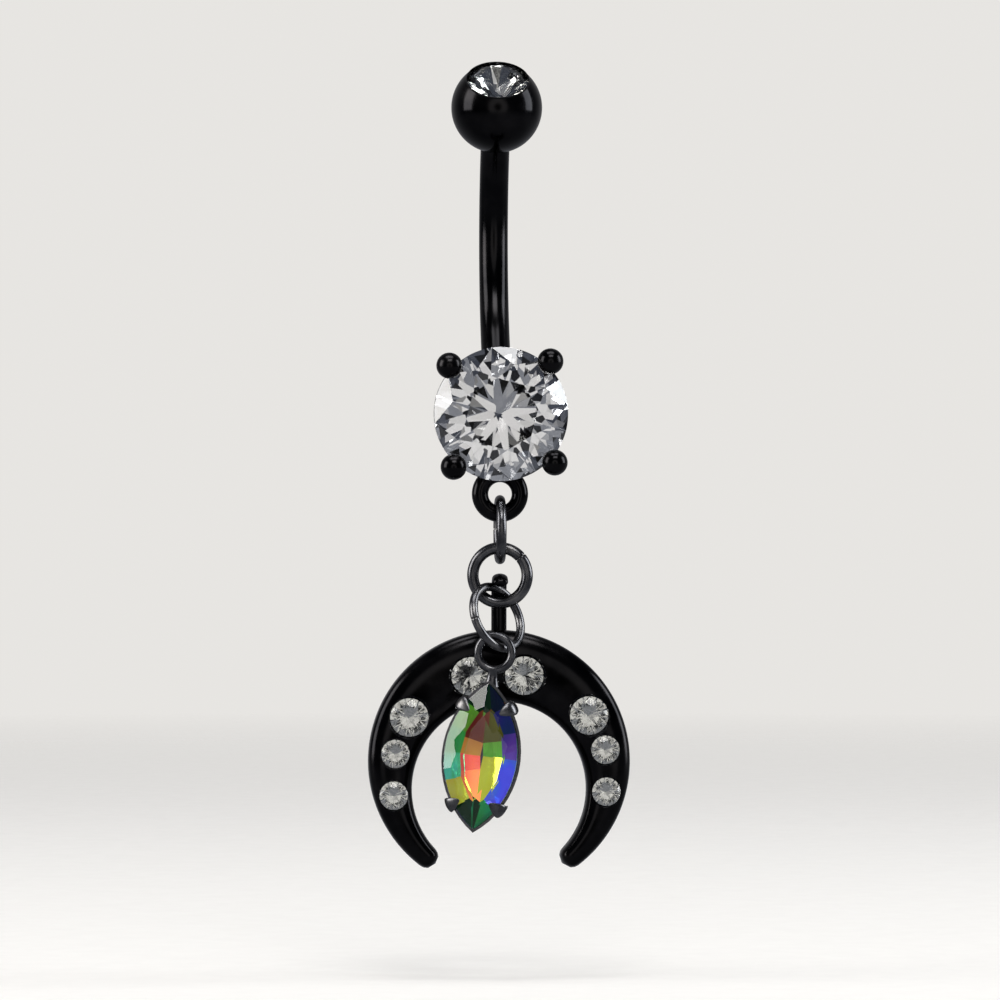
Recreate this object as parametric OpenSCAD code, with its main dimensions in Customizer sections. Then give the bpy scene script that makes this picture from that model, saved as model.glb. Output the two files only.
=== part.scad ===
// Navel ring: a curved barbell with a screw-on ball above and a claw-set round
// stone below, from which a crescent and a marquise drop hang on small rings.
// Lengths are in millimetres, +Z is up and -Y is the front.
// The origin is the middle of the bar's curve, where it sits in the piercing.

/* [Barbell] */
// Diameter of the bar
bar_d = 1.6; // [1.2:0.1:2]
// Radius of the bar's curve at its centre line
bar_bend_r = 9; // [8:0.25:11]
// Angle of the curve on each side of its middle
bar_half_angle = 37; // [33:1:41]
// Height from the middle of the bar down to the stone's centre
stone_drop = 9.5; // [9:0.1:12]
// Height above the stone's centre where the bar enters its base
bar_entry_rise = 1.1; // [0.8:0.1:1.5]
// Diameter of the plain stub that the ball screws onto
stub_d = 1.2; // [0.8:0.1:1.2]
// Length of that stub
stub_len = 2; // [1.2:0.1:2.2]

/* [Top ball] */
// Diameter of the ball
ball_d = 5; // [4.5:0.1:6]
// Diameter of the stone in the ball
ball_gem_d = 3.3; // [2.6:0.1:3.6]
// Depth of that stone's rim below the edge of its seat
ball_gem_sink = 0.2; // [0.05:0.05:0.3]

/* [Centre stone and claws] */
// Diameter of the large round stone
stone_d = 7.3; // [6.5:0.1:8]
// Depth of its setting behind the stone's rim
setting_depth = 4; // [3.8:0.1:5]
// Diameter of the ball at the end of each claw
claw_ball_d = 1.42; // [1.2:0.02:1.6]
// Diameter of the claws
claw_d = 0.84; // [0.6:0.02:1]
// Turn of the four claws, anticlockwise
claw_turn = 2.4; // [0:0.2:10]
// Diameter of the rail round the claws
rail_d = 0.7; // [0.5:0.05:0.8]
// Distance of the rail behind the stone's rim
rail_back = 1.2; // [1:0.1:1.8]
// Diameter of the round base behind the stone
base_d = 3.4; // [3:0.1:4]
// Thickness of that base
base_t = 0.8; // [0.6:0.1:1.2]

/* [Fixed loop and link ring] */
// Wire of the loop that is soldered under the setting
loop_wire_d = 0.9; // [0.7:0.05:1]
// Inner diameter of that loop
loop_hole_d = 1.28; // [1.2:0.02:1.6]
// Height from the stone's centre down to that loop's centre
loop_drop = 4.37; // [4.2:0.01:4.6]
// Wire of the small link ring
link_wire_d = 0.55; // [0.4:0.01:0.6]
// Outer diameter of the small link ring
link_d = 3.78; // [3.4:0.02:4.4]

/* [Large and front rings] */
// Wire of the large ring
large_wire_d = 0.63; // [0.5:0.01:0.7]
// Outer diameter of the large ring
large_d = 3.63; // [3.5:0.01:4]
// Turn of the large ring about the vertical, right side to the front
large_turn = 12; // [8:1:16]
// Wire of the front ring
front_wire_d = 0.48; // [0.36:0.01:0.5]
// Outer diameter of the front ring
front_d = 4.04; // [4.02:0.01:4.2]
// Turn of the front ring about the vertical, left side to the front
front_turn = 41.2; // [40:0.1:43]
// Lean of the front ring, lower edge to the front
front_lean = 29.2; // [28:0.1:31]
// Slit where each ring of wire closes
ring_slit = 0.05; // [0.03:0.01:0.1]

/* [Crescent] */
// Outer diameter of the crescent
crescent_d = 14.34; // [13:0.1:16]
// Width of the crescent at its top, where it is widest
crescent_w = 3.91; // [3.4:0.01:4.4]
// Angle from the top round to each horn's end
horn_angle = 133; // [125:1:140]
// Radius of the rounded ends of the horns
horn_r = 0.62; // [0.5:0.01:0.7]
// Height of the crescent's straight side wall
crescent_edge_t = 0.75; // [0.6:0.05:1]
// Height of the domed face over that wall
crescent_dome_t = 0.85; // [0.6:0.05:1]
// Width of the hook, and of its post
hook_w = 0.84; // [0.6:0.02:0.9]
// Thickness of the hook
hook_t = 0.5; // [0.4:0.02:0.6]
// Diameter of the four larger stones
big_gem_d = 2.1; // [1.8:0.05:2.2]
// Diameter of the four smaller stones
small_gem_d = 1.55; // [1.3:0.05:1.6]

/* [Marquise drop] */
// Length of the marquise stone
marquise_l = 8; // [7:0.1:9]
// Width of the marquise stone
marquise_w = 4; // [3.6:0.1:4.4]
// Wall of its cup round the stone
cup_wall = 0.14; // [0.1:0.01:0.2]
// Depth of the cup below the stone's rim
cup_depth = 1.3; // [1.2:0.05:1.6]
// Diameter of its four claws
cup_claw_d = 0.6; // [0.5:0.02:0.7]
// Wire of the loop on the cup
drop_wire_d = 0.45; // [0.36:0.01:0.46]
// Inner diameter of the loop on the cup
drop_hole_d = 1.41; // [1.38:0.01:1.5]
// Length of the neck between the loop and the cup
drop_neck = 0.32; // [0.2:0.01:0.5]
// Lean of the drop, lower end to the left
drop_lean = 6.5; // [0:0.5:8]
// Turn of the drop about the vertical, face to the left
drop_turn = 12; // [8:1:14]

/* [Fits] */
// Running gap between pieces of metal that touch
gap = 0.03; // [0.02:0.005:0.04]
// Gap between a stone and its seat
stone_gap = 0.03; // [0.02:0.005:0.05]

/* [Hidden] */
$fn = 72;

// Colours as the metals and stones show
black_metal = [0.06, 0.06, 0.07];
dark_metal = [0.28, 0.28, 0.3];
clear_stone = [0.85, 0.88, 0.92];
rainbow_stone = [0.55, 0.8, 0.2];

// Shares of a round stone's diameter: crown, pavilion and girdle heights,
// table width, and how far the star and lower points lie from the middle
crown_share = 0.15;
pavilion_share = 0.42;
girdle_share = 0.025;
table_share = 0.54;
star_share = 0.755;
lower_share = 0.2;
// Small end of a seat's cone, and how far cuts run into each other
seat_tip_r = 0.06;
cut_lap = 0.001;

// The bar's upper end and the ball on it
bar_end_y = -bar_bend_r * (1 - cos(bar_half_angle));
bar_end_z = bar_bend_r * sin(bar_half_angle);
ball_seat = sqrt(pow(ball_d / 2, 2) - pow(bar_d / 2, 2));
stub_hole_d = stub_d + 2 * gap;
stub_hole_depth = stub_len + gap;
ball_gem_plane = sqrt(pow(ball_d / 2, 2) - pow(ball_gem_d / 2 + stone_gap, 2)) - ball_gem_sink;

// The bar's straight tail and the setting that it enters
tail_len = (stone_drop - bar_entry_rise - bar_end_z) / cos(bar_half_angle);
base_back_y = bar_end_y - tail_len * sin(bar_half_angle) + bar_d / 4;
rim_y = base_back_y - setting_depth;
claw_r = stone_d / 2 + claw_d / 2 + stone_gap;
claw_foot_r = base_d / 2 - claw_d / 2;
claw_foot_z = -(setting_depth - base_t / 2);
claw_knee_z = -0.2;
// Step between soldered pieces of the same width, and how far they run into each other
solder_step = 0.02;
solder_lap = 0.2;
// The claw's ball lies on the crown, which rises from the rim to the table
crown_slope = atan(crown_share / (0.5 - table_share / 2));
claw_ball_out = 0.17;
claw_ball_r = stone_d / 2 + claw_ball_d * claw_ball_out;
claw_ball_z = (claw_ball_d / 2 + stone_gap) / cos(crown_slope)
    - (claw_ball_r - stone_d / 2) * tan(crown_slope) + girdle_share * stone_d / 2;
rail_share = (rail_back + claw_knee_z) / (claw_knee_z - claw_foot_z);
rail_r = claw_r - (claw_r - claw_foot_r) * rail_share;

// The rings, from the fixed loop down, each resting in the one above
chain_y = rim_y + rail_back;
loop_r = (loop_hole_d + loop_wire_d) / 2;
loop_z = -stone_drop - loop_drop;
link_r = (link_d - link_wire_d) / 2;
link_z = loop_z - loop_r + (loop_wire_d + link_wire_d) / 2 + gap - link_r;
large_r = (large_d - large_wire_d) / 2;
large_z = link_z - link_r + (link_wire_d + large_wire_d) / 2 + gap - large_r;
front_r = (front_d - front_wire_d) / 2;
// The front ring rests over the large ring's lowest stretch. Both are turned, so
// its top stands higher and further back than wire on wire, by shares of the wires
turned_rise = 1.4;
turned_back = 0.16;
front_left = 0.2;
link_slit = 90;
large_slit = 41;
front_slit = 200;
front_y = chain_y + turned_back * (front_wire_d + large_wire_d) / 2 - front_r * sin(front_lean);
front_z = large_z - large_r + turned_rise * (front_wire_d + large_wire_d) / 2
    - front_r * cos(front_lean);

// The crescent hangs by its hook over the large and front rings
hook_r = 0.76;
hook_end = 125;
hook_behind = 0.05;
hook_rise = 0.06;
hook_y = chain_y + hook_behind;
front_top_z = front_z + front_r * cos(front_lean) + front_wire_d / 2;
hook_z = front_top_z + gap + hook_rise - hook_r;
post_y = hook_y + hook_r + hook_t / 2;
crescent_t = crescent_edge_t + crescent_dome_t;
post_inset = 0.2;
post_sink = 1;
crescent_back_y = post_y + hook_t / 2 + post_inset;
crescent_r = crescent_d / 2;
crescent_top_drop = 3.03;
crescent_z = large_z - crescent_top_drop - crescent_r;
// The round space between the horns: its edge lies the crescent's width below the
// top, and it leaves a horn's width at the horn angle, which gives a square to solve
inner_top = crescent_r - crescent_w;
horn_far = crescent_r - horn_r;
hole_rest = (pow(horn_r, 2) + pow(inner_top, 2) + 2 * cos(horn_angle) * inner_top * horn_r
    - pow(horn_far, 2)) / (2 * (1 - cos(horn_angle)));
hole_r = (inner_top - horn_r + sqrt(pow(inner_top - horn_r, 2) - 4 * hole_rest)) / 2;
crescent_offset = crescent_w - crescent_r + hole_r;
hole_z = crescent_z - crescent_offset;
horn_near = hole_r + horn_r;
horn_spread = asin(horn_r / horn_near);
horn_last = 86;
band_steps = 44;
horn_steps = 6;
dome_power = 2.6;
dome_steps = 12;
// A section narrower than this share of the horn's end is lower too
flat_from = 0.95;

// The crescent's stones: angle from the top, share of the way across the band,
// and whether the stone is one of the larger ones
gem_angle = 0;
gem_across = 1;
gem_large = 2;
gem_rows = [
    [-93, 0.48, false],
    [-70.9, 0.46, false],
    [-51.3, 0.48, true],
    [-14.4, 0.42, true],
    [12.1, 0.41, true],
    [50.4, 0.48, true],
    [69.4, 0.5, false],
    [91.2, 0.48, false]
];
// Depth of a stone's rim below the crescent's face, as a share of the stone
gem_sink_share = 0.1;

// The marquise drop, from the loop's centre down
drop_r = (drop_hole_d + drop_wire_d) / 2;
drop_left = 0.4;
drop_rise = 1.27;
drop_back = 0.13;
drop_y = front_y - front_r * sin(front_lean) + drop_back * (front_wire_d + drop_wire_d) / 2;
drop_z = front_z - front_r * cos(front_lean)
    + drop_rise * (front_wire_d + drop_wire_d) / 2 - drop_r;
cup_l = marquise_l + 2 * (cup_wall + stone_gap);
cup_w = marquise_w + 2 * (cup_wall + stone_gap);
cup_floor = 0.16;
cup_foot_share = 0.9;
cup_well_share = 0.84;
cup_seat = 0.35;
drop_below = drop_r + drop_wire_d / 2 + drop_neck + cup_l / 2;
rim_ahead = 0.75;
neck_d = 0.62;
neck_sink = 0.75;
neck_len = drop_neck + drop_wire_d / 2 + neck_sink;
marquise_crown = 0.75;
marquise_girdle = 0.16;
marquise_pavilion = cup_depth - cup_floor - 2 * stone_gap;
// The cup's claws: place along the half length, share of the cup's depth that their
// posts cover, rise over the rim, bend inwards, and length and end of the tip
claw_along = 0.665;
claw_cover = 0.8;
claw_rise = 0.32;
claw_bend = 52;
claw_tip_len = 0.85;
claw_tip_r = 0.08;
// Shares of the marquise stone's half width, half length and heights for its table,
// star points and lower points
table_across_share = 0.52;
table_along_share = 0.62;
star_rise_share = 0.56;
lower_across_share = 0.36;
lower_along_share = 0.5;
lower_deep_share = 0.72;
lens_steps = 32;

// A point of a lens outline with half length a and half width b, where t runs
// once round in 16 steps from the right side, anticlockwise, as the rims' points do
function lens_at(t, a, b) =
    let (
        i = t > 4 ? (t > 12 ? t - 16 : 8 - t) : t,
        side = t > 4 && t < 12 ? -1 : 1,
        r = (a * a + b * b) / (2 * b),
        half = asin(a / r)
    )
    [side * (r * cos(i / 4 * half) - (r - b)), r * sin(i / 4 * half)];

function circle_at(t, r) = [r * cos(t * 22.5), r * sin(t * 22.5)];

function lens_outline(a, b) = [for (i = [0 : lens_steps - 1]) lens_at(i * 16 / lens_steps, a, b)];

// Distance from the space's centre to the crescent's outer and inner edge
function band_outer(b) =
    let (
        beyond = abs(b) - horn_angle,
        full = crescent_offset * cos(b) + sqrt(pow(crescent_r, 2) - pow(crescent_offset * sin(b), 2))
    )
    beyond <= 0 ? full
        : min(full, horn_near * cos(beyond)
            + sqrt(max(0, pow(horn_r, 2) - pow(horn_near * sin(beyond), 2))));

function band_inner(b) =
    let (beyond = abs(b) - horn_angle)
    beyond <= 0 ? hole_r
        : horn_near * cos(beyond) - sqrt(max(0, pow(horn_r, 2) - pow(horn_near * sin(beyond), 2)));

// Height of the domed face over the crescent's back, across the band from -1 to 1
function dome_height(s) =
    crescent_edge_t + crescent_dome_t * pow(1 - pow(abs(s), dome_power), 1 / dome_power);

// One section of the crescent: points of [distance from the space's centre, height over the back]
function band_section(b) =
    let (
        low = band_inner(b),
        high = band_outer(b),
        mid = (low + high) / 2,
        half = (high - low) / 2,
        flat = min(1, half / horn_r / flat_from)
    )
    concat(
        [[low, 0], [high, 0]],
        [for (i = [0 : dome_steps])
            let (
                a = 180 * i / dome_steps,
                c = cos(a),
                s = (c < 0 ? -1 : 1) * pow(abs(c), 2 / dome_power),
                h = pow(sin(a), 2 / dome_power)
            )
            [mid + half * s, (crescent_edge_t + crescent_dome_t * h) * flat]]
    );

band_angles = concat(
    [for (i = [horn_steps : -1 : 1]) -horn_angle - horn_spread * sin(horn_last * i / horn_steps)],
    [for (i = [0 : band_steps]) -horn_angle + 2 * horn_angle * i / band_steps],
    [for (i = [1 : horn_steps]) horn_angle + horn_spread * sin(horn_last * i / horn_steps)]
);

// A cut stone from its rings of points: 8 table, 8 star, 16 upper and 16 lower
// rim points, 8 lower points and the tip. Its rim is at z = 0 and it faces +Z.
module cut_stone(table, star, upper, lower, pavilion, tip) {
    t = 0;
    s = 8;
    u = 16;
    l = 32;
    p = 48;
    c = 56;
    faces = concat(
        [[for (k = [7 : -1 : 0]) t + k]],
        [for (k = [0 : 7]) [t + k, t + (k + 1) % 8, s + k]],
        [for (k = [0 : 7]) [t + k, s + k, u + 2 * k]],
        [for (k = [0 : 7]) [t + k, u + 2 * k, s + (k + 7) % 8]],
        [for (k = [0 : 7]) [s + k, u + 2 * k + 1, u + 2 * k]],
        [for (k = [0 : 7]) [s + k, u + (2 * k + 2) % 16, u + 2 * k + 1]],
        [for (i = [0 : 15]) [u + i, u + (i + 1) % 16, l + (i + 1) % 16]],
        [for (i = [0 : 15]) [u + i, l + (i + 1) % 16, l + i]],
        [for (k = [0 : 7]) [p + k, l + 2 * k, l + 2 * k + 1]],
        [for (k = [0 : 7]) [p + k, l + 2 * k + 1, l + (2 * k + 2) % 16]],
        [for (k = [0 : 7]) [c, p + (k + 7) % 8, l + 2 * k]],
        [for (k = [0 : 7]) [c, l + 2 * k, p + k]]
    );
    polyhedron(concat(table, star, upper, lower, pavilion, [tip]), faces);
}

// A round brilliant of diameter d
module round_stone(d) {
    r = d / 2;
    rim = girdle_share * r;
    top = crown_share * d;
    deep = pavilion_share * d;
    rt = table_share * r;
    rs = star_share * r;
    rp = lower_share * r;
    star_z = top - (rs * cos(22.5) - rt) / (r - rt) * (top - rim);
    low_z = -deep + (deep - rim) * rp * cos(22.5) / r;
    cut_stone(
        [for (k = [0 : 7]) concat(circle_at(2 * k, rt), [top])],
        [for (k = [0 : 7]) concat(circle_at(2 * k + 1, rs), [star_z])],
        [for (i = [0 : 15]) concat(circle_at(i, r), [rim])],
        [for (i = [0 : 15]) concat(circle_at(i, r), [-rim])],
        [for (k = [0 : 7]) concat(circle_at(2 * k + 1, rp), [low_z])],
        [0, 0, -deep]
    );
}

// The seat that a round stone drops into, open towards +Z
module round_seat(d, open) {
    r = d / 2 + stone_gap;
    foot = girdle_share * d / 2 + stone_gap;
    translate([0, 0, -foot]) cylinder(r = r, h = foot + open);
    translate([0, 0, -foot - pavilion_share * d]) cylinder(r1 = seat_tip_r, r2 = r, h = pavilion_share * d + cut_lap);
}

// A ring of wire about the Z axis, with a slit at the given angle
module wire_ring(r, wire, slit_at) {
    slit = 2 * asin(ring_slit / 2 / r);
    rotate([0, 0, slit_at + slit / 2])
        rotate_extrude(angle = 360 - slit)
            translate([r, 0]) circle(d = wire);
}

// Turns +Z to the front and +Y to the top
module facing() {
    rotate([90, 0, 0]) children();
}

// The frame of the bar's upper end, with +Z along the bar
module at_bar_top() {
    translate([0, bar_end_y, bar_end_z]) rotate([bar_half_angle, 0, 0]) children();
}

// The frame of the large stone: its rim at z = 0, facing +Z
module at_setting() {
    translate([0, rim_y, -stone_drop]) facing() children();
}

module bar() {
    translate([0, -bar_bend_r, 0])
        rotate([0, 90, 0]) rotate([0, 0, 90 - bar_half_angle])
            rotate_extrude(angle = 2 * bar_half_angle)
                translate([bar_bend_r, 0]) circle(d = bar_d);
    at_bar_top() translate([0, 0, -solder_lap]) cylinder(d = stub_d, h = stub_len + solder_lap);
    translate([0, bar_end_y, -bar_end_z]) rotate([180 - bar_half_angle, 0, 0])
        translate([0, 0, -solder_lap]) cylinder(d = bar_d - solder_step, h = tail_len + solder_lap);
}

module claw() {
    slope = atan((claw_r - claw_foot_r) / (claw_knee_z - claw_foot_z));
    length = sqrt(pow(claw_r - claw_foot_r, 2) + pow(claw_knee_z - claw_foot_z, 2));
    translate([claw_foot_r, 0, claw_foot_z]) rotate([0, slope, 0]) cylinder(d = claw_d, h = length);
    translate([claw_r, 0, claw_knee_z]) sphere(d = claw_d + 2 * solder_step);
    translate([claw_r, 0, claw_knee_z]) cylinder(d = claw_d, h = claw_ball_z - claw_knee_z);
    translate([claw_ball_r, 0, claw_ball_z]) sphere(d = claw_ball_d);
}

module setting() {
    at_setting() {
        translate([0, 0, -setting_depth]) cylinder(d = base_d, h = base_t);
        for (k = [0 : 3]) rotate([0, 0, 45 + claw_turn + 90 * k]) claw();
        translate([0, 0, -rail_back]) rotate_extrude() translate([rail_r, 0]) circle(d = rail_d);
    }
    translate([0, chain_y, loop_z]) facing() rotate_extrude() translate([loop_r, 0]) circle(d = loop_wire_d);
}

module barbell() {
    color(black_metal) {
        bar();
        setting();
    }
}

// The ball's own frame: its centre, with +Z along the bar
module at_ball() {
    at_bar_top() translate([0, 0, ball_seat + gap]) children();
}

module top_ball() {
    color(black_metal) at_ball() difference() {
        sphere(d = ball_d);
        translate([0, 0, -ball_d]) cylinder(d = stub_hole_d, h = ball_d - ball_seat - gap + stub_hole_depth);
        translate([0, 0, -ball_d]) cylinder(d = bar_d + 2 * gap, h = ball_d - ball_seat);
        translate([0, 0, ball_gem_plane]) round_seat(ball_gem_d, ball_d);
    }
}

module ball_gem() {
    color(clear_stone) at_ball() translate([0, 0, ball_gem_plane]) round_stone(ball_gem_d);
}

module centre_stone() {
    color(clear_stone) at_setting() round_stone(stone_d);
}

module link_ring() {
    color(dark_metal) translate([0, chain_y, link_z]) rotate([0, 90, 0]) wire_ring(link_r, link_wire_d, link_slit);
}

module large_ring() {
    color(dark_metal)
        translate([0, chain_y, large_z]) rotate([0, 0, -large_turn]) facing()
            wire_ring(large_r, large_wire_d, large_slit);
}

module front_ring() {
    color(dark_metal)
        translate([-front_left, front_y, front_z])
            rotate([-front_lean, 0, 0]) rotate([0, 0, front_turn]) facing()
                wire_ring(front_r, front_wire_d, front_slit);
}

// The crescent's solid body, its back at y = 0 in its own frame
module crescent_body() {
    rows = len(band_angles);
    n = dome_steps + 3;
    points = [for (b = band_angles) for (q = band_section(b)) [q[0] * sin(b), -q[1], q[0] * cos(b)]];
    sides = [for (i = [0 : rows - 2]) for (j = [0 : n - 1])
        for (half = [0, 1])
            half == 0
                ? [i * n + j, (i + 1) * n + j, (i + 1) * n + (j + 1) % n]
                : [i * n + j, (i + 1) * n + (j + 1) % n, i * n + (j + 1) % n]];
    first = [[for (j = [0 : n - 1]) j]];
    last = [[for (j = [n - 1 : -1 : 0]) (rows - 1) * n + j]];
    polyhedron(points, concat(sides, first, last));
}

// The frame of one of the crescent's stones: its rim at z = 0, facing +Z
module at_gem(i) {
    row = gem_rows[i];
    b = row[gem_angle];
    d = row[gem_large] ? big_gem_d : small_gem_d;
    along = band_inner(b) + (band_outer(b) - band_inner(b)) * row[gem_across];
    h = dome_height(2 * row[gem_across] - 1) - gem_sink_share * d;
    translate([along * sin(b), crescent_back_y - h, hole_z + along * cos(b)]) facing() children();
}

// Outline of the hook's wire: flat sides and round ends
function hook_outline() =
    let (r = hook_t / 2, reach = hook_w / 2 - hook_t / 2)
    [for (i = [0 : 15])
        let (c = 360 * (i + 0.5) / 16)
        [r * cos(c), r * sin(c) + (sin(c) > 0 ? reach : -reach)]];

module hook() {
    foot_z = crescent_z + crescent_r - post_sink;
    translate([0, hook_y, hook_z]) rotate([90, 0, 90])
        rotate_extrude(angle = hook_end) translate([hook_r + hook_t / 2, 0]) polygon(hook_outline());
    translate([0, hook_y, hook_z]) rotate([hook_end, 0, 0]) translate([0, hook_r + hook_t / 2, 0])
        rotate([0, 90, 0]) cylinder(d = hook_t, h = hook_w - hook_t, center = true);
    translate([0, post_y, foot_z]) rotate([0, 0, 90])
        linear_extrude(hook_z - foot_z) polygon(hook_outline());
}

module crescent() {
    color(black_metal) {
        difference() {
            translate([0, crescent_back_y, hole_z]) crescent_body();
            for (i = [0 : 7]) at_gem(i) round_seat(gem_rows[i][gem_large] ? big_gem_d : small_gem_d, 2);
        }
        hook();
    }
}

module crescent_stone(i) {
    color(clear_stone) at_gem(i) round_stone(gem_rows[i][gem_large] ? big_gem_d : small_gem_d);
}

// The frame of the marquise stone: its rim at z = 0, its length along Y, facing +Z
module at_drop() {
    translate([-drop_left, drop_y, drop_z])
        rotate([0, 0, -drop_turn]) rotate([0, drop_lean, 0]) facing() children();
}

module at_marquise() {
    at_drop() translate([0, -drop_below, rim_ahead]) children();
}

module cup() {
    well_a = marquise_l / 2 + stone_gap;
    well_b = marquise_w / 2 + stone_gap;
    difference() {
        translate([0, 0, -cup_depth])
            linear_extrude(cup_depth, scale = 1 / cup_foot_share)
                polygon(lens_outline(cup_l / 2 * cup_foot_share, cup_w / 2 * cup_foot_share));
        translate([0, 0, -cup_seat]) linear_extrude(cup_depth) polygon(lens_outline(well_a, well_b));
        translate([0, 0, -cup_depth + cup_floor]) linear_extrude(cup_depth)
            polygon(lens_outline(well_a * cup_well_share, well_b * cup_well_share));
    }
}

// A claw on the cup's rim: a post and a pointed tip bent over the stone
module cup_claw() {
    a = cup_l / 2;
    b = cup_w / 2;
    r = (a * a + b * b) / (2 * b);
    y = claw_along * a;
    x = sqrt(r * r - y * y) - (r - b);
    lean = asin(y / r);
    out = cup_claw_d / 2 + solder_step - cup_wall;
    foot = cup_depth * claw_cover;
    translate([x, y, 0]) rotate([0, 0, lean]) translate([out, 0, 0]) {
        translate([0, 0, -foot]) cylinder(d = cup_claw_d, h = foot + claw_rise);
        translate([0, 0, claw_rise]) sphere(d = cup_claw_d + 2 * solder_step);
        translate([0, 0, claw_rise]) rotate([0, -claw_bend, 0])
            cylinder(r1 = cup_claw_d / 2, r2 = claw_tip_r, h = claw_tip_len);
    }
}

module marquise_setting() {
    color(dark_metal) {
        at_marquise() {
            cup();
            for (across = [0, 1]) for (along = [0, 1])
                mirror([across, 0, 0]) mirror([0, along, 0]) cup_claw();
        }
        at_drop() {
            rotate_extrude() translate([drop_r, 0]) circle(d = drop_wire_d);
            translate([0, -drop_r - neck_len, 0]) rotate([-90, 0, 0]) cylinder(d = neck_d, h = neck_len);
        }
    }
}

module marquise_stone() {
    a = marquise_l / 2;
    b = marquise_w / 2;
    rim = marquise_girdle / 2;
    table_a = a * table_along_share;
    table_b = b * table_across_share;
    star_a = (a + table_a) / 2;
    star_b = (b + table_b) / 2;
    star_z = marquise_crown * star_rise_share;
    low_a = a * lower_along_share;
    low_b = b * lower_across_share;
    low_z = -marquise_pavilion * lower_deep_share;
    color(rainbow_stone) at_marquise() cut_stone(
        [for (k = [0 : 7]) concat(lens_at(2 * k, table_a, table_b), [marquise_crown])],
        [for (k = [0 : 7]) concat(lens_at(2 * k + 1, star_a, star_b), [star_z])],
        [for (i = [0 : 15]) concat(lens_at(i, a, b), [rim])],
        [for (i = [0 : 15]) concat(lens_at(i, a, b), [-rim])],
        [for (k = [0 : 7]) concat(lens_at(2 * k + 1, low_a, low_b), [low_z])],
        [0, 0, -marquise_pavilion]
    );
}

barbell();
top_ball();
ball_gem();
centre_stone();
link_ring();
large_ring();
front_ring();
crescent();
crescent_stone(0);  // crescent_stone_1
crescent_stone(1);  // crescent_stone_2
crescent_stone(2);  // crescent_stone_3
crescent_stone(3);  // crescent_stone_4
crescent_stone(4);  // crescent_stone_5
crescent_stone(5);  // crescent_stone_6
crescent_stone(6);  // crescent_stone_7
crescent_stone(7);  // crescent_stone_8
marquise_setting();
marquise_stone();
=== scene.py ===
from math import asin, atan, atan2, cos, pi, radians, sin, sqrt, tan

import bmesh
import bpy
from mathutils import Matrix, Vector


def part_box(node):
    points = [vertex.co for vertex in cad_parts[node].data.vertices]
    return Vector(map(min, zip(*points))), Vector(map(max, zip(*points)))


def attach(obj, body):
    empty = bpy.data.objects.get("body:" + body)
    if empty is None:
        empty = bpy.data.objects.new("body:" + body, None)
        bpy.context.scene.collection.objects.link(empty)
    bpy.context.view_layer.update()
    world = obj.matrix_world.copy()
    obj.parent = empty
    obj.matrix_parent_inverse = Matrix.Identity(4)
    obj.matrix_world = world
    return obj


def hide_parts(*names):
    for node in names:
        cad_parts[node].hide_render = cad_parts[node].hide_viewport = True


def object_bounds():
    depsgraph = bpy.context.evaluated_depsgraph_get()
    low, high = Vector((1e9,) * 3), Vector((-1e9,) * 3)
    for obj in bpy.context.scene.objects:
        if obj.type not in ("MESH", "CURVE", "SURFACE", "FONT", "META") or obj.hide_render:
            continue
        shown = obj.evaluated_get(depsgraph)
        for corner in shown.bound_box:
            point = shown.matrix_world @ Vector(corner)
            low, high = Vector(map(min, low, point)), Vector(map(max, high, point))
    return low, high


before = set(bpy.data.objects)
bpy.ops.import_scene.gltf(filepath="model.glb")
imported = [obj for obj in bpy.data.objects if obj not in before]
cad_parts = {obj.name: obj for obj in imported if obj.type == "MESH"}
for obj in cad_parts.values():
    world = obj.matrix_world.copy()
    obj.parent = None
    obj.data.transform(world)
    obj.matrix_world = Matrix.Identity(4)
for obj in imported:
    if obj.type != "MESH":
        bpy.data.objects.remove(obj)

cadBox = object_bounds()
mm = 0.001
facing = Matrix.Rotation(pi / 2, 4, "X")  # turns +Z to the front and +Y to the top


def place(x, y, z):
    return Matrix.Translation(Vector((x, y, z)) * mm)


def turned(degrees, axis):
    return Matrix.Rotation(radians(degrees), 4, axis)


def boxCentre(node):
    low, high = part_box(node)
    return (low + high) / 2


def addObject(name, data):
    made = bpy.data.objects.new(name, data)
    bpy.context.scene.collection.objects.link(made)
    return made


def meshFrom(bm, name):
    mesh = bpy.data.meshes.new(name)
    bm.to_mesh(mesh)
    bm.free()
    return mesh


# Camera
camera = {
    "target": (0.0, -6.5, -14.2),  # mm, what the middle of the frame looks at
    "azimuth": -3.2,  # degrees, below zero to the left of straight on
    "elevation": 1.0,
    "distance": 380.0,  # mm
    "frameWidth": 54.6,  # mm across the frame at the target
    "sensor": 36.0,
    "clipStart": 0.01,  # m
}


def makeCamera():
    data = bpy.data.cameras.new("camera")
    data.sensor_width = camera["sensor"]
    data.lens = camera["sensor"] * camera["distance"] / camera["frameWidth"]
    data.clip_start = camera["clipStart"]
    eye = addObject("camera", data)
    a, e = radians(camera["azimuth"]), radians(camera["elevation"])
    away = Vector((sin(a) * cos(e), -cos(a) * cos(e), sin(e)))
    eye.location = (Vector(camera["target"]) + away * camera["distance"]) * mm
    eye.rotation_euler = (-away).to_track_quat("-Z", "Y").to_euler()
    bpy.context.scene.camera = eye
    print("camera ready")


makeCamera()


# Materials
def newMaterial(name, **values):
    material = bpy.data.materials.new(name)
    material.use_nodes = True
    tree = material.node_tree
    shader = tree.nodes["Principled BSDF"]
    for socket, value in values.items():
        shader.inputs[socket.replace("_", " ")].default_value = value
    return material, tree, shader


def addNode(tree, kind, **values):
    node = tree.nodes.new(kind)
    for name, value in values.items():
        if hasattr(node, name):
            setattr(node, name, value)
        else:
            node.inputs[name.replace("_", " ")].default_value = value
    return node


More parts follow.
